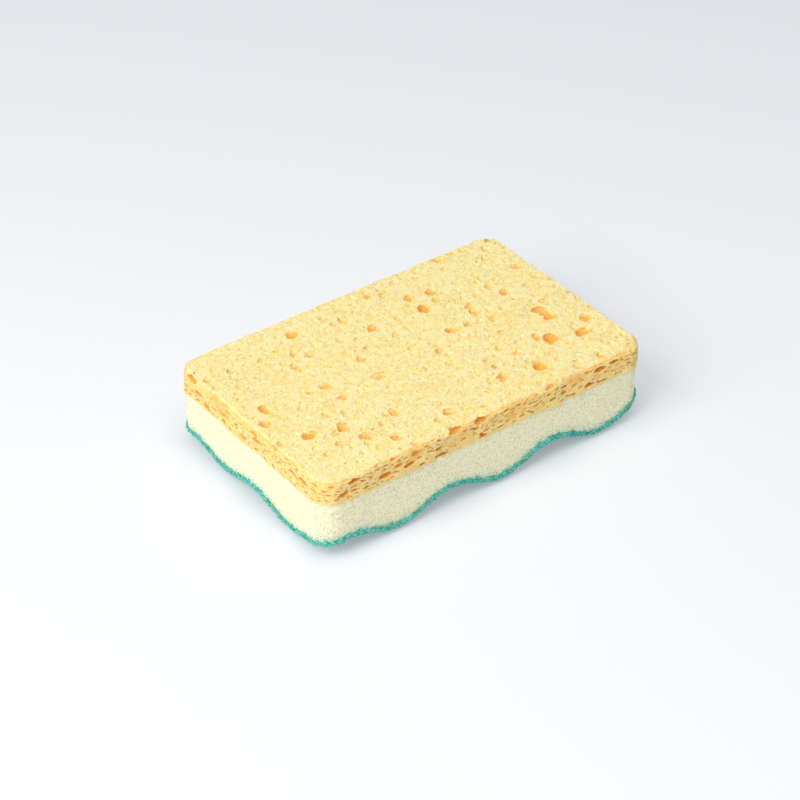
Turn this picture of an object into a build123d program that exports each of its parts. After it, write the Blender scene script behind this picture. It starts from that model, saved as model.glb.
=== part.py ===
from build123d import *
import math
import os

# A three-layer kitchen scouring sponge, lying cellulose side up.
# Frame: millimetres, +X along the length, +Y across the width, +Z up. The origin is the
# centre of the footprint, on the plane that the lowest crests of the wavy underside touch.

# Footprint, shared by all three layers because the laminate is cut out in one stroke.
length = 110.0
width = 70.0
corner_radius = 6.0

# Layer thicknesses.
cellulose_thickness = 7.0
foam_crest_thickness = 17.5
coat_thickness = 1.0
top_edge_radius = 0.8

# The wavy cut of the underside, like an egg box: crests and hollows alternate along both axes.
wave_height = 7.2
wave_pitch_x = 35.0
wave_pitch_y = 29.0
hollow_x = -13.0
hollow_y = -2.0

# The wave surface is drawn past the footprint, so that it cuts the outline cleanly.
surface_margin = 6.0
points_per_pitch = 8
surface_tolerance = 0.005

bond_height = coat_thickness + foam_crest_thickness
total_height = bond_height + cellulose_thickness


def wave_z(x, y):
    """Height of the coat's outer surface above the plane that its crests stand on."""
    across = math.cos(2 * math.pi * (x - hollow_x) / wave_pitch_x)
    along = math.cos(2 * math.pi * (y - hollow_y) / wave_pitch_y)
    return wave_height / 2 * (1 + across * along)


def spread(span, pitch):
    """Evenly spaced coordinates that cover a side and its margin, a fixed number to a pitch."""
    reach = span / 2 + surface_margin
    steps = math.ceil(2 * reach / pitch * points_per_pitch)
    return [-reach + 2 * reach * step / steps for step in range(steps + 1)]


def wave_surface(lift):
    """The wave as a smooth surface, lifted by a constant height."""
    rows = [
        [Vector(x, y, wave_z(x, y) + lift) for y in spread(width, wave_pitch_y)]
        for x in spread(length, wave_pitch_x)
    ]
    return Face.make_surface_from_array_of_points(rows, tol=surface_tolerance, min_deg=3, max_deg=3)


def footprint_block(bottom, top):
    """The rounded outline of the laminate between two heights."""
    outline = RectangleRounded(length, width, corner_radius)
    return Pos(0, 0, bottom) * extrude(outline, amount=top - bottom)


def above_wave(lift):
    """Everything from the lifted wave to well above the bond, wider than the footprint."""
    return extrude(wave_surface(lift), amount=total_height, dir=(0, 0, 1))


def make_cellulose_layer():
    """The flat slab of cellulose sponge, with its upper edge slightly worn round."""
    slab = footprint_block(bond_height, total_height)
    top_edges = slab.faces().sort_by(Axis.Z)[-1].edges()
    return fillet(top_edges, top_edge_radius)


def make_foam_layer(above_bond):
    """The foam between the flat bond and the wavy cut."""
    return (footprint_block(0, bond_height) & above_bond).solid()


def make_scouring_coat(above_bond, above_outside):
    """The scouring coat that follows the wavy cut at an even depth."""
    coat_top = wave_height + 2 * coat_thickness
    coated = footprint_block(-coat_thickness, coat_top) & above_outside
    return (coated - above_bond).solid()


above_bond = above_wave(coat_thickness)
above_outside = above_wave(0)
nodes = {
    "cellulose_layer": make_cellulose_layer(),
    "foam_layer": make_foam_layer(above_bond),
    "scouring_coat": make_scouring_coat(above_bond, above_outside),
}

os.makedirs("parts", exist_ok=True)
for name, solid in nodes.items():
    export_step(solid, f"parts/{name}.step")
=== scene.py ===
import math
import random

import bmesh
import bpy
from bpy.props import FloatProperty, FloatVectorProperty, IntProperty, PointerProperty
from mathutils import Matrix, Vector, noise


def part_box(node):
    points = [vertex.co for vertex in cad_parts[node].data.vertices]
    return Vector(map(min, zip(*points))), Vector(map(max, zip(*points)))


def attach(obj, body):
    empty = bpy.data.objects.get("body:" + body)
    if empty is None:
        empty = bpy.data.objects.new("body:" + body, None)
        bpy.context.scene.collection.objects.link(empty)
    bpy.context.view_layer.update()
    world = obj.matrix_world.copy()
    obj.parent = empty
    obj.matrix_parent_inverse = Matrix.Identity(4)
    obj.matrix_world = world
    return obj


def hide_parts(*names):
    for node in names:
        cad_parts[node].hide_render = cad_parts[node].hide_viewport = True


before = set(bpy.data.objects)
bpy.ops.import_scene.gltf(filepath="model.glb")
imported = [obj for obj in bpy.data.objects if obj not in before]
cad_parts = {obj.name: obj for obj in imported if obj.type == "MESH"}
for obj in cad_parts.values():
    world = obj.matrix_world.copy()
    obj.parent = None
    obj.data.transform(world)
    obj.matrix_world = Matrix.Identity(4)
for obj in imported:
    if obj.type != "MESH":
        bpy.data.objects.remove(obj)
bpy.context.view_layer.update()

bl_info = {
    "name": "Scouring sponge",
    "version": (1, 0, 0),
    "blender": (4, 5, 0),
    "location": "3D View > Sidebar > Sponge",
    "description": "Builds a three-layer kitchen scouring sponge and the stage it lies on",
    "category": "Object",
}

MM = 0.001

# The wavy cut of the underside, as the construction model has it.
WAVE_HEIGHT = 7.2 * MM
WAVE_PITCH_X = 35.0 * MM
WAVE_PITCH_Y = 29.0 * MM
HOLLOW_X = -13.0 * MM
HOLLOW_Y = -2.0 * MM
CORNER_RADIUS = 6.0 * MM

# One corner of the real foam hangs a little lower than the even wave.
SAG_PLACE = (-55.0 * MM, -30.0 * MM)
SAG_DEPTH = 1.3 * MM
SAG_REACH = 14.0 * MM


# ---------------------------------------------------------------------------- shapes


def wave_z(x, y):
    """Height of the scouring side above the plane that its crests stand on."""
    across = math.cos(2 * math.pi * (x - HOLLOW_X) / WAVE_PITCH_X)
    along = math.cos(2 * math.pi * (y - HOLLOW_Y) / WAVE_PITCH_Y)
    return WAVE_HEIGHT / 2 * (1 + across * along)


def cut_z(x, y):
    """The wavy cut as it lies: one corner sags, but no crest sinks below its plane."""
    even = wave_z(x, y)
    away = math.hypot(x - SAG_PLACE[0], y - SAG_PLACE[1])
    sag = SAG_DEPTH * math.exp(-((away / SAG_REACH) ** 2))
    return even - sag * min(1.0, even / (2 * SAG_DEPTH))


def lumps(x, y, z, size, seed=0.0):
    """Smooth noise from -1 to 1 whose features are about one size across."""
    return noise.noise(Vector((x / size + seed, y / size - seed, z / size)))


class Outline:
    """The rounded rectangle that all the layers are cut to, around the origin."""

    def __init__(self, box, radius):
        self.length = box[1][0] - box[0][0]
        self.width = box[1][1] - box[0][1]
        self.radius = radius
        self.straight_x = self.length / 2 - radius
        self.straight_y = self.width / 2 - radius

    def fit(self, x, y):
        """Moves a point of the plain rectangle to the matching place in the rounded one."""
        over_x = abs(x) - self.straight_x
        over_y = abs(y) - self.straight_y
        if over_x <= 0 or over_y <= 0:
            return x, y
        squeeze = max(over_x, over_y) / math.hypot(over_x, over_y)
        return (
            math.copysign(self.straight_x + over_x * squeeze, x),
            math.copysign(self.straight_y + over_y * squeeze, y),
        )

    def inset(self, x, y):
        """How far inside the outline a point lies."""
        over_x = abs(x) - self.straight_x
        over_y = abs(y) - self.straight_y
        outside = math.hypot(max(over_x, 0), max(over_y, 0))
        return self.radius - outside - min(max(over_x, over_y), 0)

    def outward(self, x, y):
        """The direction straight out through the nearest stretch of the outline."""
        over_x = abs(x) - self.straight_x
        over_y = abs(y) - self.straight_y
        if over_x > 0 and over_y > 0:
            reach = math.hypot(over_x, over_y)
            return math.copysign(over_x / reach, x), math.copysign(over_y / reach, y)
        if over_x > over_y:
            return math.copysign(1.0, x), 0.0
        return 0.0, math.copysign(1.0, y)

    def perimeter(self):
        return 4 * (self.straight_x + self.straight_y) + 2 * math.pi * self.radius

    def walk(self, distance):
        """The point and the outward direction at a distance along the outline."""
        corner = math.pi / 2 * self.radius
        sides = (
            (2 * self.straight_x, 0.0, (-self.straight_x, -self.straight_y)),
            (2 * self.straight_y, math.pi / 2, (self.straight_x, -self.straight_y)),
            (2 * self.straight_x, math.pi, (self.straight_x, self.straight_y)),
            (2 * self.straight_y, 3 * math.pi / 2, (-self.straight_x, self.straight_y)),
        )
        distance %= self.perimeter()
        for side, turn, (x, y) in sides:
            along = min(distance, side)
            bend = min(max(distance - side, 0.0), corner) / self.radius
            if distance <= side + corner:
                out = turn - math.pi / 2 + bend
                x += along * math.cos(turn) + self.radius * math.cos(out)
                y += along * math.sin(turn) + self.radius * math.sin(out)
                return x, y, math.cos(out), math.sin(out)
            distance -= side + corner
        raise RuntimeError("the walk left the outline")


def block(outline, spacing, rings):
    """A closed block of even cells, one unit high, whose sides are cut into rings."""
    bm = bmesh.new()
    bmesh.ops.create_grid(
        bm,
        x_segments=round(outline.length / spacing),
        y_segments=round(outline.width / spacing),
        size=0.5,
        matrix=Matrix.Diagonal((outline.length, outline.width, 1, 1)),
    )
    raised = bmesh.ops.extrude_face_region(bm, geom=bm.faces[:], use_keep_orig=True)["geom"]
    roof = [part for part in raised if isinstance(part, bmesh.types.BMVert)]
    bmesh.ops.translate(bm, verts=roof, vec=(0, 0, 1))
    uprights = [e for e in bm.edges if abs(e.verts[0].co.z - e.verts[1].co.z) > 0.5]
    bmesh.ops.subdivide_edges(bm, edges=uprights, cuts=rings - 1)
    bmesh.ops.recalc_face_normals(bm, faces=bm.faces[:])
    return bm


def new_piece(name, bm):
    """A scene object that holds a finished mesh, in place."""
    mesh = bpy.data.meshes.new(name)
    bm.to_mesh(mesh)
    bm.free()
    piece = bpy.data.objects.new(name, mesh)
    bpy.context.collection.objects.link(piece)
    return piece


def shade(mesh, sharp_angle):
    """Smooth shading, with an edge wherever two faces meet at more than the angle."""
    bm = bmesh.new()
    bm.from_mesh(mesh)
    for face in bm.faces:
        face.smooth = True
    for edge in bm.edges:
        edge.smooth = edge.calc_face_angle(0.0) < sharp_angle
    bm.to_mesh(mesh)
    bm.free()


def give_attribute(mesh, name, values):
    """Stores one number for each vertex."""
    mesh.attributes.new(name, "FLOAT", "POINT").data.foreach_set("value", values)


# ---------------------------------------------------------------------------- pores


class Scatter:
    """Keeps pores of one pass apart, so that a wall is left between any two."""

    def __init__(self, cell):
        self.cell = cell
        self.taken = {}

    def place(self, u, v, reach):
        """Takes the place if it is free, and says whether it was."""
        column = math.floor(u / self.cell)
        row = math.floor(v / self.cell)
        for i in (column - 1, column, column + 1):
            for j in (row - 1, row, row + 1):
                for other_u, other_v, other_reach in self.taken.get((i, j), ()):
                    if math.hypot(u - other_u, v - other_v) < reach + other_reach:
                        return False
        self.taken.setdefault((column, row), []).append((u, v, reach))
        return True


def detail_for(radius):
    """How finely a bubble is divided: the smallest ones need only a few faces."""
    if radius < 0.36 * MM:
        return 1
    return 3 if radius > 1.0 * MM else 2


class Bubbles:
    """Closed, uneven bubbles in one mesh.

    They are made in small batches, because a bmesh operator slows down as its mesh grows.
    """

    BATCH = 25

    def __init__(self, dice):
        self.dice = dice
        self.whole = bmesh.new()
        self.batch = bmesh.new()
        self.waiting = 0

    def add(self, place, axes, detail, unevenness=0.3):
        """Adds a bubble: place turns it and puts it where it goes, and axes are its half sizes."""
        made = bmesh.ops.create_icosphere(self.batch, subdivisions=detail, radius=1.0)
        shift = self.dice.uniform(0, 100)
        for vert in made["verts"]:
            swell = 1 + unevenness * noise.noise(1.5 * vert.co + Vector((shift, 0, 0)))
            vert.co = place @ Vector([swell * co * axis for co, axis in zip(vert.co, axes)])
        self.waiting += 1
        if self.waiting == self.BATCH:
            self.gather()

    def gather(self):
        """Moves the waiting bubbles into the whole mesh, and gives that back."""
        mesh = bpy.data.meshes.new("batch")
        self.batch.to_mesh(mesh)
        self.whole.from_mesh(mesh)
        bpy.data.meshes.remove(mesh)
        self.batch.clear()
        self.waiting = 0
        return self.whole


def carve(piece, cutters, name):
    """Takes the bubbles out of a piece."""
    cutter = new_piece(name, cutters)
    cut = piece.modifiers.new(name, "BOOLEAN")
    cut.operation = "DIFFERENCE"
    cut.solver = "MANIFOLD"
    cut.object = cutter
    bpy.context.view_layer.update()
    graph = bpy.context.evaluated_depsgraph_get()
    carved = bpy.data.meshes.new_from_object(piece.evaluated_get(graph))
    piece.modifiers.remove(cut)
    old = piece.data
    piece.data = carved
    bpy.data.meshes.remove(old)
    bpy.data.objects.remove(cutter)


# ---------------------------------------------------------------------------- shader expressions


class Amount:
    """A number that varies over a surface. Python's operators on it add Math nodes."""

    def __init__(self, paint, socket):
        self.paint = paint
        self.socket = socket

    def maths(self, operation, *values):
        settings = {"operation": operation}
        inputs = {place: value for place, value in enumerate(values)}
        return Amount(self.paint, self.paint.node("ShaderNodeMath", settings, inputs).outputs[0])

    def __add__(self, other):
        return self.maths("ADD", self, other)

    __radd__ = __add__

    def __sub__(self, other):
        return self.maths("SUBTRACT", self, other)

    def __rsub__(self, other):
        return self.maths("SUBTRACT", other, self)

    def __mul__(self, other):
        return self.maths("MULTIPLY", self, other)

    __rmul__ = __mul__

    def step(self, low, high):
        """Rises smoothly from 0 at low to 1 at high."""
        settings = {"interpolation_type": "SMOOTHSTEP"}
        inputs = {"Value": self, "From Min": low, "From Max": high}
        return Amount(self.paint, self.paint.node("ShaderNodeMapRange", settings, inputs).outputs[0])


class Paint:
    """A material under construction, around one Principled shader."""

    def __init__(self, name):
        self.material = bpy.data.materials.new(name)
        self.material.use_nodes = True
        self.tree = self.material.node_tree
        self.shader = self.tree.nodes["Principled BSDF"]
        self.place = self.node("ShaderNodeTexCoord").outputs["Object"]

    def node(self, kind, settings=None, inputs=None):
        """Adds a node, sets its settings, then the values or links of its sockets."""
        made = self.tree.nodes.new(kind)
        for name, value in (settings or {}).items():
            setattr(made, name, value)
        for name, value in (inputs or {}).items():
            socket = made.inputs[name]
            if isinstance(value, Amount):
                value = value.socket
            if isinstance(value, bpy.types.NodeSocket):
                self.tree.links.new(value, socket)
            else:
                socket.default_value = value
        return made

    def attribute(self, name):
        return Amount(self, self.node("ShaderNodeAttribute", {"attribute_name": name}).outputs["Fac"])

    def cloud(self, size, detail=2.0):
        """Soft noise from 0 to 1, with features about one size across."""
        inputs = {"Vector": self.place, "Scale": 1 / size, "Detail": detail}
        return Amount(self, self.node("ShaderNodeTexNoise", None, inputs).outputs[0])

    def cells(self, size):
        """Distance from the nearest cell centre in cell sizes, and a random number for each cell."""
        inputs = {"Vector": self.place, "Scale": 1 / size}
        made = self.node("ShaderNodeTexVoronoi", {"feature": "F1"}, inputs)
        chance = self.node("ShaderNodeSeparateColor", None, {0: made.outputs["Color"]})
        return Amount(self, made.outputs["Distance"]), Amount(self, chance.outputs[0])

    def blend(self, low, high, amount):
        """A colour between two others."""
        settings = {"data_type": "RGBA"}
        made = self.node("ShaderNodeMix", settings, {0: amount, 6: low, 7: high})
        return made.outputs[2]

    def bump(self, height, distance):
        inputs = {"Height": height, "Distance": distance, "Strength": 1.0}
        return self.node("ShaderNodeBump", None, inputs).outputs[0]

    def finish(self, color, roughness, normal=None, glow=0.0):
        """Sets the shader; glow is how far light creeps inside, for soft stuff."""
        self.tree.links.new(color, self.shader.inputs["Base Color"])
        if glow > 0:
            self.shader.inputs["Subsurface Weight"].default_value = 0.5
            self.shader.inputs["Subsurface Radius"].default_value = (1.0, 0.6, 0.25)
            self.shader.inputs["Subsurface Scale"].default_value = glow
        self.shader.inputs["Roughness"].default_value = roughness
        self.shader.inputs["Specular IOR Level"].default_value = 0.25
        if normal is not None:
            self.tree.links.new(normal, self.shader.inputs["Normal"])
        return self.material


def opaque(color):
    return (*color, 1.0)


# ---------------------------------------------------------------------------- materials


def cellulose_material(sizes):
    """Pale sponge skin, flecked with painted shade for its finest pores; painted shade darkens it to deep
    amber down in the pores, and a painted glow tints its cut sides.
    """
    paint = Paint("cellulose_sponge")
    broad = paint.cloud(7 * MM)
    patches = paint.cloud(1.8 * MM, 4.0)
    grain = paint.cloud(0.45 * MM, 3.0)
    # Painted shade: dark dots stand for the shade inside the finest pores, too small to model.
    distance, chance = paint.cells(0.6 * MM)
    pit_shade = (1 - distance.step(0.2, 0.42)) * chance.step(0.45, 0.65)
    depth = paint.attribute("pore_depth")
    tone = patches * 0.8 + grain * 0.3 + broad * 0.25
    skin = paint.blend(opaque(sizes.pale), opaque(sizes.yellow), tone.step(0.55, 0.9))
    skin = paint.blend(skin, opaque(sizes.pit_shade), pit_shade * 0.5)
    # Painted glow: the cut sides are tinted more orange, for light scattered through their thin walls.
    skin = paint.blend(skin, opaque(sizes.side_glow), paint.attribute("cut_side") * (0.3 + patches * 0.6))
    # Painted shade: the deeper a point lies in a pore, the more its skin turns to a dark amber, for the
    # shade and the light scattered down there.
    deep = (depth * (0.6 + grain * 0.8)).step(0.0, 1.15)
    color = paint.blend(skin, opaque(sizes.pore_shade), deep)
    height = grain * 0.6 + patches * 0.8 - pit_shade * 0.5
    return paint.finish(color, 0.85, paint.bump(height, 0.3 * MM), 1.2 * MM)


def foam_material(sizes):
    """Cream open-cell foam, with painted shade in the hollows of its cells and flecks of the coat's colour
    low on its cut sides.
    """
    paint = Paint("cream_foam")
    distance, chance = paint.cells(0.55 * MM)
    # Painted shade: the hollow of each tiny foam cell is darkened.
    hollow = (1 - distance.step(0.12, 0.48)) * (0.4 + chance * 0.6)
    skin = paint.blend(opaque(sizes.cream), opaque(sizes.shade), hollow * 0.8)
    above = paint.attribute("above_coat")
    tint = (1 - above.step(0.0, 4.5)) * 0.3
    skin = paint.blend(skin, opaque(sizes.tint), tint)
    fleck = (paint.cloud(0.35 * MM, 2.0) - above * 0.06).step(0.42, 0.55)
    color = paint.blend(skin, opaque(sizes.fleck), fleck * 0.8)
    return paint.finish(color, 0.9, paint.bump(1 - hollow, 0.2 * MM), 1.6 * MM)


def coat_material(sizes):
    """Dense teal fibres and grit, matt and uneven in tone."""
    paint = Paint("teal_scouring_grit")
    distance, chance = paint.cells(0.5 * MM)
    patches = paint.cloud(2.5 * MM, 4.0)
    tone = chance * 0.6 + patches * 0.5
    color = paint.blend(opaque(sizes.deep), opaque(sizes.bright), tone.step(0.2, 0.85))
    height = (1 - distance) * 0.7 + paint.cloud(0.3 * MM, 3.0) * 0.5
    return paint.finish(color, 0.7, paint.bump(height, 0.4 * MM), 0.4 * MM)


# ---------------------------------------------------------------------------- settings


def colour(name, description, default):
    return FloatVectorProperty(
        name=name, description=description, default=default, size=3, min=0, max=1, subtype="COLOR"
    )


def length(name, description, default):
    return FloatProperty(name=name, description=description, default=default, unit="LENGTH", precision=5)


class SPONGE_PG_cellulose(bpy.types.PropertyGroup):
    """Sizes and colours of the cellulose layer."""

    spacing: length("Mesh spacing", "Distance between the points of the skin", 1.0 * MM)
    edge: length("Edge radius", "Radius that the upper edge is worn to", 0.8 * MM)
    ragged: length("Ragged edge", "How far the cut side wanders in and out", 0.45 * MM)
    fringe: length("Fringe", "How far shreds of the lower edge hang over the foam", 0.6 * MM)
    wall: length("Pore wall", "Least wall between two pores of one size", 0.12 * MM)
    largest: length("Largest pore", "Half width of the largest open pore", 2.6 * MM)
    large: IntProperty(name="Large pores", description="Tries for the largest pores", default=70)
    medium: IntProperty(name="Medium pores", description="Tries for pores of 2 mm or so", default=1300)
    small: IntProperty(name="Small pores", description="Tries for pores of 1 mm or so", default=2600)
    side: IntProperty(name="Side cells", description="Tries for flat cells on the cut sides", default=3000)
    pale: colour("Pale", "Skin between the pores", (0.97, 0.83, 0.43))
    yellow: colour("Yellow", "Duller patches of the skin", (0.96, 0.70, 0.24))
    # Painted glow of the cut sides.
    side_glow: colour("Warm", "Walls between the cells of the cut sides", (0.98, 0.66, 0.22))
    # Painted shade of the finest pores.
    pit_shade: colour("Speck", "Finest pores, too small to model", (0.72, 0.50, 0.16))
    # Painted shade: the dark amber that the deeper pores are coloured.
    pore_shade: colour("Orange", "Inside of the deeper pores", (0.95, 0.46, 0.08))


class SPONGE_PG_foam(bpy.types.PropertyGroup):
    """Sizes and colours of the foam layer."""

    spacing: length("Mesh spacing", "Distance between the points of the skin", 0.6 * MM)
    ragged: length("Ragged side", "How far the cut side wanders in and out", 0.15 * MM)
    cream: colour("Cream", "Cell walls of the foam", (0.95, 0.89, 0.62))
    # Painted shade in the hollows of the foam's cells.
    shade: colour("Shade", "Hollows of the foam's cells", (0.52, 0.46, 0.24))
    tint: colour("Tint", "Cast of the coat's colour close above it", (0.62, 0.80, 0.62))
    fleck: colour("Fleck", "Flecks of the coat low on the sides", (0.16, 0.50, 0.40))


class SPONGE_PG_coat(bpy.types.PropertyGroup):
    """Sizes and colours of the scouring coat."""

    spacing: length("Mesh spacing", "Distance between the points of the skin", 0.55 * MM)
    lip: length("Lip", "How far the coat's edge stands out of the side", 0.25 * MM)
    ragged: length("Ragged edge", "How far that edge wanders", 0.4 * MM)
    climb: length("Climb", "How far the coat's edge climbs the side of the foam", 1.1 * MM)
    grit: length("Grit", "Height of the lumps of the scouring face", 0.3 * MM)
    deep: colour("Deep", "Darker fibres", (0.03, 0.36, 0.29))
    bright: colour("Bright", "Lighter fibres", (0.17, 0.66, 0.54))


class SPONGE_PG_stage(bpy.types.PropertyGroup):
    """The camera, the lamps and the floor."""

    lens: FloatProperty(name="Lens", description="Focal length for a 36 mm sensor, in mm", default=124.5)
    distance: length("Distance", "From the camera to the point it aims at", 0.780)
    azimuth: FloatProperty(
        name="Azimuth", description="Turn about the vertical", default=math.radians(-36.83), subtype="ANGLE"
    )
    elevation: FloatProperty(
        name="Elevation", description="Angle above the floor", default=math.radians(36.46), subtype="ANGLE"
    )
    aim: FloatVectorProperty(
        name="Aim",
        description="Point that the camera looks at",
        default=(0.36 * MM, 6.09 * MM, 5.39 * MM),
        subtype="TRANSLATION",
    )
    floor: colour("Floor", "Colour of the near floor", (0.875, 0.89, 0.925))
    # Painted shade of the floor far from the camera.
    far_floor_shade: colour("Far floor", "Colour of the far floor", (0.80, 0.815, 0.85))
    lighten: FloatProperty(name="Lighten", description="Share of the floor that has no shadow", default=0.3)
    sky: FloatProperty(name="Sky", description="Brightness of the light from all round", default=0.42)
    key: FloatProperty(name="Key lamp", description="Power of the main lamp", default=7.5, unit="POWER")
    top: FloatProperty(name="Top lamp", description="Power of the lamp overhead", default=5.0, unit="POWER")


# ---------------------------------------------------------------------------- cellulose layer


def slab_bmesh(outline, low, high, sizes):
    """The uncut slab: nearly flat, with a worn upper edge and slightly wandering sides."""
    bm = block(outline, sizes.spacing, 7)
    for vert in bm.verts:
        level = vert.co.z
        x, y = outline.fit(vert.co.x, vert.co.y)
        inset = outline.inset(x, y)
        out_x, out_y = outline.outward(x, y)
        near = max(0.0, 1 - inset / (2 * MM))
        wander = lumps(x, y, level * 7 * MM, 9 * MM) + 0.7 * lumps(x, y, level * 7 * MM, 3 * MM, 5.0)
        wander *= near * sizes.ragged
        dip = 0.15 * MM * lumps(x, y, 0, 14 * MM, 3.0)
        z = low + level * (high - low + dip)
        if level < 0.2:
            fringe = 0.5 + lumps(x, y, 0, 2.2 * MM, 8.0) + 0.6 * lumps(x, y, 0, 1.0 * MM, 2.0)
            wander += near * sizes.fringe * 0.5
            z -= near * sizes.fringe * max(0.0, fringe) * (1 - 5 * level)
        short = min(max(0.0, sizes.edge - inset), sizes.edge)
        if level > 0.99 and short > 0:
            z -= sizes.edge - math.sqrt(sizes.edge**2 - short**2)
            wander -= 0.35 * sizes.edge
        vert.co = (x + out_x * wander, y + out_y * wander, z)
    bmesh.ops.triangulate(bm, faces=bm.faces[:])
    return bm


def top_pores(outline, high, tries, low_radius, high_radius, sizes, dice):
    """Bubbles that open through the upper face."""
    bubbles = Bubbles(dice)
    scatter = Scatter(2 * high_radius * 1.9)
    for _ in range(tries):
        radius = low_radius * (high_radius / low_radius) ** (dice.random() ** 2.0)
        x = dice.uniform(-0.5, 0.5) * outline.length
        y = dice.uniform(-0.5, 0.5) * outline.width
        stretch = dice.uniform(1.0, 1.6)
        reach = radius * stretch * 1.15
        if outline.inset(x, y) < reach * 0.4 or not scatter.place(x, y, reach + sizes.wall / 2):
            continue
        flat = dice.uniform(0.5, 0.9)
        sunk = dice.uniform(-0.35, 0.3)
        turn = Matrix.Rotation(dice.uniform(0, math.pi), 4, "Z")
        place = Matrix.Translation((x, y, high - radius * flat * sunk)) @ turn
        bubbles.add(place, (radius * stretch, radius, radius * flat), detail_for(radius))
    return bubbles.gather()


def large_pores(outline, high, sizes, dice):
    """The few large bubbles, and the smaller ones that break through their floors."""
    outer = Bubbles(dice)
    inner = Bubbles(dice)
    scatter = Scatter(4 * sizes.largest)
    for _ in range(sizes.large):
        radius = sizes.largest * (0.5 + 0.5 * dice.random() ** 2.5)
        x = dice.uniform(-0.5, 0.5) * outline.length
        y = dice.uniform(-0.5, 0.5) * outline.width
        reach = radius * 1.6
        if outline.inset(x, y) < reach or not scatter.place(x, y, reach):
            continue
        turn = Matrix.Rotation(dice.uniform(0, math.pi), 4, "Z")
        place = Matrix.Translation((x, y, high - dice.uniform(-0.1, 0.15) * radius)) @ turn
        outer.add(place, (radius * 1.15, radius * 0.9, radius * 0.62), 3, 0.35)
        angle = math.pi * 2 * dice.random()
        shift = Vector((math.cos(angle), math.sin(angle), 0)) * radius * 0.45
        small = radius * dice.uniform(0.25, 0.4)
        deeper = Matrix.Translation(place.translation + shift - Vector((0, 0, radius * 0.4)))
        inner.add(deeper, (small, small, small), 2)
    return outer.gather(), inner.gather()


def side_cells(outline, low, high, tries, widest, sizes, dice):
    """Flat, lens-shaped bubbles that open through the cut sides."""
    bubbles = Bubbles(dice)
    flat = 0.42
    scatter = Scatter(2 * widest * 1.4)
    around = outline.perimeter()
    for _ in range(tries):
        radius = widest * (0.25 + 0.75 * dice.random() ** 2.5)
        along = dice.uniform(0, around)
        z = dice.uniform(low + 0.5 * MM, high - 0.45 * MM)
        reach = radius * 1.15 + sizes.wall / 2
        if not scatter.place(along, z / flat, reach):
            continue
        x, y, out_x, out_y = outline.walk(along)
        sunk = dice.uniform(-0.2, 0.2) * radius
        turn = Matrix(((out_y, out_x, 0), (-out_x, out_y, 0), (0, 0, 1))).to_4x4()
        tilt = Matrix.Rotation(dice.uniform(-0.15, 0.15), 4, "Y")
        place = Matrix.Translation((x - out_x * sunk, y - out_y * sunk, z)) @ turn @ tilt
        bubbles.add(place, (radius, radius * 0.75, radius * flat), detail_for(radius * 0.75))
    return bubbles.gather()


def make_cellulose(sizes):
    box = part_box("cellulose_layer")
    low, high = box[0][2], box[1][2]
    outline = Outline(box, CORNER_RADIUS)
    piece = new_piece("cellulose_sponge_slab", slab_bmesh(outline, low, high, sizes))
    dice = random.Random(11)
    outer, inner = large_pores(outline, high, sizes, dice)
    carve(piece, outer, "large")
    carve(piece, inner, "inner")
    carve(piece, top_pores(outline, high, sizes.medium, 0.5 * MM, 1.5 * MM, sizes, dice), "medium")
    carve(piece, top_pores(outline, high, sizes.small, 0.28 * MM, 0.55 * MM, sizes, dice), "small")
    carve(piece, side_cells(outline, low, high, sizes.side, 2.4 * MM, sizes, dice), "side")
    carve(piece, side_cells(outline, low, high, sizes.side, 1.1 * MM, sizes, dice), "side_small")
    depths = []
    cut_side = []
    for vert in piece.data.vertices:
        below = high - 0.15 * MM - vert.co.z
        inside = outline.inset(vert.co.x, vert.co.y)
        depths.append(max(0.0, min(below, 2.0 * inside)) / MM)
        cut_side.append(max(0.0, min(1.0, below / MM)) * max(0.0, 1.0 - inside / (2 * MM)))
    give_attribute(piece.data, "pore_depth", depths)
    give_attribute(piece.data, "cut_side", cut_side)
    shade(piece.data, 0.7)
    piece.data.materials.clear()
    piece.data.materials.append(cellulose_material(sizes))
    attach(piece, "root")
    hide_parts("cellulose_layer")
    return piece


class SPONGE_OT_cellulose(bpy.types.Operator):
    """Make the porous cellulose slab that forms the upper layer"""

    bl_idname = "sponge.cellulose"
    bl_label = "Cellulose layer"

    def execute(self, context):
        make_cellulose(context.scene.sponge_cellulose)
        return {"FINISHED"}


# ---------------------------------------------------------------------------- foam layer


def make_foam(sizes):
    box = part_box("foam_layer")
    high = box[1][2]
    coat_thickness = box[0][2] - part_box("scouring_coat")[0][2]
    outline = Outline(box, CORNER_RADIUS)
    bm = block(outline, sizes.spacing, 28)
    above = []
    for vert in bm.verts:
        level = vert.co.z
        x, y = outline.fit(vert.co.x, vert.co.y)
        inset = outline.inset(x, y)
        out_x, out_y = outline.outward(x, y)
        low = cut_z(x, y) + coat_thickness
        z = low + level * (high - low)
        near = max(0.0, 1 - inset / (1 * MM))
        wander = near * sizes.ragged * (lumps(x, y, z, 1.1 * MM) + 0.6 * lumps(x, y, z, 6 * MM) - 0.8)
        vert.co = (x + out_x * wander, y + out_y * wander, z)
        above.append((z - low) / MM)
    piece = new_piece("wavy_foam_core", bm)
    give_attribute(piece.data, "above_coat", above)
    shade(piece.data, 0.9)
    piece.data.materials.append(foam_material(sizes))
    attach(piece, "root")
    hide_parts("foam_layer")
    return piece


class SPONGE_OT_foam(bpy.types.Operator):
    """Make the cream foam layer with its wavy underside"""

    bl_idname = "sponge.foam"
    bl_label = "Foam layer"

    def execute(self, context):
        make_foam(context.scene.sponge_foam)
        return {"FINISHED"}


# ---------------------------------------------------------------------------- scouring coat


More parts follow.
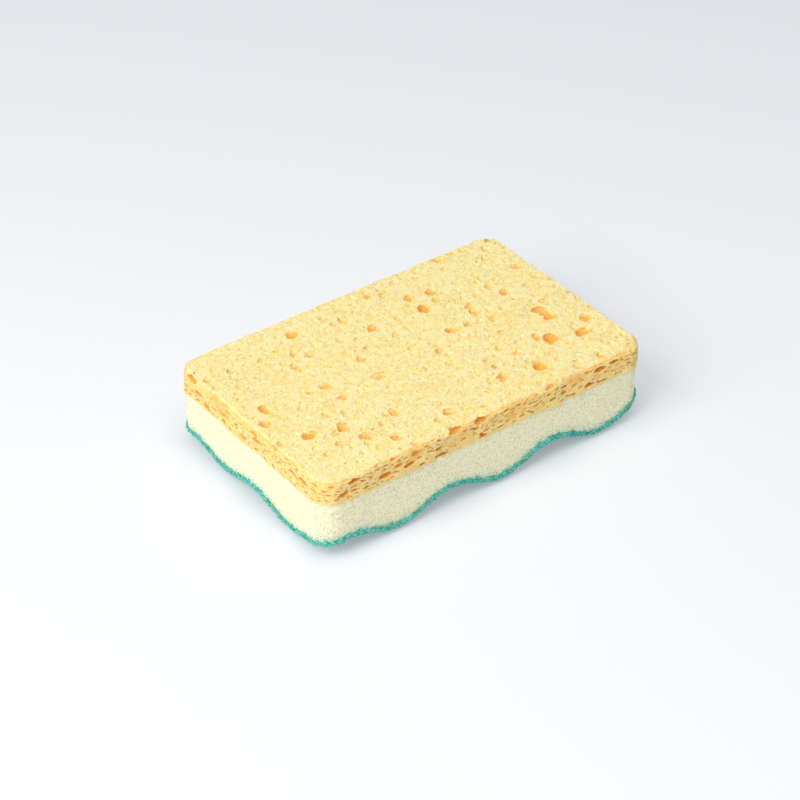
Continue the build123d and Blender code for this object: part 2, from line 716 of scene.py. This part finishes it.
def make_coat(sizes):
    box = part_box("scouring_coat")
    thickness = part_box("foam_layer")[0][2] - box[0][2]
    outline = Outline(box, CORNER_RADIUS)
    bm = block(outline, sizes.spacing, 4)
    for vert in bm.verts:
        level = vert.co.z
        x, y = outline.fit(vert.co.x, vert.co.y)
        inset = outline.inset(x, y)
        out_x, out_y = outline.outward(x, y)
        near = max(0.0, 1 - inset / (0.5 * MM))
        z = cut_z(x, y) + level * thickness
        rough = lumps(x, y, z, 0.9 * MM, 7.0) + 0.6 * lumps(x, y, z, 0.45 * MM, 2.0)
        bulge = 1 - (2 * level - 1) ** 2
        wander = near * (sizes.lip * (0.6 + bulge) + sizes.ragged * rough)
        coarse = 0.8 * lumps(x, y, 0, 1.0 * MM, 5.0) + 0.5 * lumps(x, y, 0, 0.5 * MM, 9.0)
        z += (1 - level) * sizes.grit * (coarse + 0.5)
        tatter = 0.7 + lumps(x, y, 0, 1.2 * MM, 4.0) + 0.8 * lumps(x, y, 0, 0.5 * MM)
        z += near * level * sizes.climb * tatter
        vert.co = (x + out_x * wander, y + out_y * wander, z)
    piece = new_piece("wavy_scouring_coat", bm)
    shade(piece.data, 1.2)
    piece.data.materials.append(coat_material(sizes))
    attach(piece, "root")
    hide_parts("scouring_coat")
    return piece


class SPONGE_OT_coat(bpy.types.Operator):
    """Make the thin scouring coat that follows the wavy underside"""

    bl_idname = "sponge.coat"
    bl_label = "Scouring coat"

    def execute(self, context):
        make_coat(context.scene.sponge_coat)
        return {"FINISHED"}


# ---------------------------------------------------------------------------- stage


def lamp(name, place, size, power, tint, aim=(0, 0, 0)):
    """A square soft lamp that faces the aim."""
    data = bpy.data.lights.new(name, "AREA")
    data.size = size
    data.energy = power
    data.color = tint
    made = bpy.data.objects.new(name, data)
    made.location = place
    made.rotation_euler = (Vector(aim) - Vector(place)).to_track_quat("-Z", "Y").to_euler()
    bpy.context.collection.objects.link(made)


def make_camera(sizes):
    data = bpy.data.cameras.new("camera")
    data.lens = sizes.lens
    data.sensor_width = 36
    data.clip_start = 0.05
    made = bpy.data.objects.new("camera", data)
    away = Vector(
        (
            math.sin(sizes.azimuth) * math.cos(sizes.elevation),
            -math.cos(sizes.azimuth) * math.cos(sizes.elevation),
            math.sin(sizes.elevation),
        )
    )
    made.location = Vector(sizes.aim) + away * sizes.distance
    made.rotation_euler = away.to_track_quat("Z", "Y").to_euler()
    bpy.context.collection.objects.link(made)
    bpy.context.scene.camera = made


def make_floor(sizes):
    """A pale floor, with painted shade that darkens it away from the camera. For the camera its shadow is
    lightened, as on a lit table.
    """
    bm = bmesh.new()
    bmesh.ops.create_grid(bm, x_segments=1, y_segments=1, size=3.0)
    floor = new_piece("floor", bm)
    paint = Paint("pale_floor")
    turn = {"Vector": paint.place, "Rotation": (0, 0, -sizes.azimuth)}
    turned = paint.node("ShaderNodeMapping", None, turn)
    across = paint.node("ShaderNodeSeparateXYZ", None, {"Vector": turned.outputs[0]}).outputs["Y"]
    # Painted shade: the floor darkens away from the camera.
    far = Amount(paint, across).step(-0.05, 0.35)
    color = paint.blend(opaque(sizes.floor), opaque(sizes.far_floor_shade), far)
    floor.data.materials.append(paint.finish(color, 0.9))
    light = paint.node("ShaderNodeEmission", None, {"Color": color, "Strength": 1.0})
    rays = paint.node("ShaderNodeLightPath").outputs
    camera, glossy, through = (
        Amount(paint, rays[name]) for name in ("Is Camera Ray", "Is Glossy Ray", "Is Transmission Ray")
    )
    seen = (camera + glossy + through) * sizes.lighten
    parts = {0: seen, 1: paint.shader.outputs[0], 2: light.outputs[0]}
    mixed = paint.node("ShaderNodeMixShader", None, parts)
    output = paint.tree.nodes["Material Output"]
    paint.tree.links.new(mixed.outputs[0], output.inputs["Surface"])


def make_stage(sizes):
    scene = bpy.context.scene
    scene.view_settings.view_transform = "Standard"
    world = bpy.data.worlds.new("studio")
    world.use_nodes = True
    sky = world.node_tree.nodes["Background"]
    sky.inputs["Color"].default_value = (0.96, 0.98, 1.0, 1.0)
    sky.inputs["Strength"].default_value = sizes.sky
    scene.world = world
    lamp("key", (-0.75, -0.12, 0.70), 0.7, sizes.key, (1.0, 0.99, 0.97))
    lamp("overhead", (-0.1, -0.35, 1.2), 1.0, sizes.top, (1.0, 1.0, 1.0))
    make_floor(sizes)
    make_camera(sizes)


class SPONGE_OT_stage(bpy.types.Operator):
    """Make the pale floor, the soft lamps and the camera"""

    bl_idname = "sponge.stage"
    bl_label = "Stage"

    def execute(self, context):
        make_stage(context.scene.sponge_stage)
        return {"FINISHED"}


# ---------------------------------------------------------------------------- add-on


class SPONGE_PT_panel(bpy.types.Panel):
    """Lists the pieces of the sponge with their settings"""

    bl_label = "Scouring sponge"
    bl_idname = "SPONGE_PT_panel"
    bl_space_type = "VIEW_3D"
    bl_region_type = "UI"
    bl_category = "Sponge"

    def draw(self, context):
        for operator, settings in STEPS:
            box = self.layout.box()
            box.operator(operator.bl_idname)
            group = getattr(context.scene, settings)
            for name in group.__annotations__:
                box.prop(group, name)


STEPS = (
    (SPONGE_OT_stage, "sponge_stage"),
    (SPONGE_OT_coat, "sponge_coat"),
    (SPONGE_OT_foam, "sponge_foam"),
    (SPONGE_OT_cellulose, "sponge_cellulose"),
)
GROUPS = {
    "sponge_cellulose": SPONGE_PG_cellulose,
    "sponge_foam": SPONGE_PG_foam,
    "sponge_coat": SPONGE_PG_coat,
    "sponge_stage": SPONGE_PG_stage,
}


def register():
    for name, group in GROUPS.items():
        bpy.utils.register_class(group)
        setattr(bpy.types.Scene, name, PointerProperty(type=group))
    for operator, _ in STEPS:
        bpy.utils.register_class(operator)
    bpy.utils.register_class(SPONGE_PT_panel)


def unregister():
    bpy.utils.unregister_class(SPONGE_PT_panel)
    for operator, _ in reversed(STEPS):
        bpy.utils.unregister_class(operator)
    for name, group in reversed(GROUPS.items()):
        delattr(bpy.types.Scene, name)
        bpy.utils.unregister_class(group)


def main():
    """Builds every piece."""
    register()
    bpy.ops.sponge.stage()
    bpy.ops.sponge.coat()
    bpy.ops.sponge.foam()
    bpy.ops.sponge.cellulose()


if __name__ == "__main__":
    main()
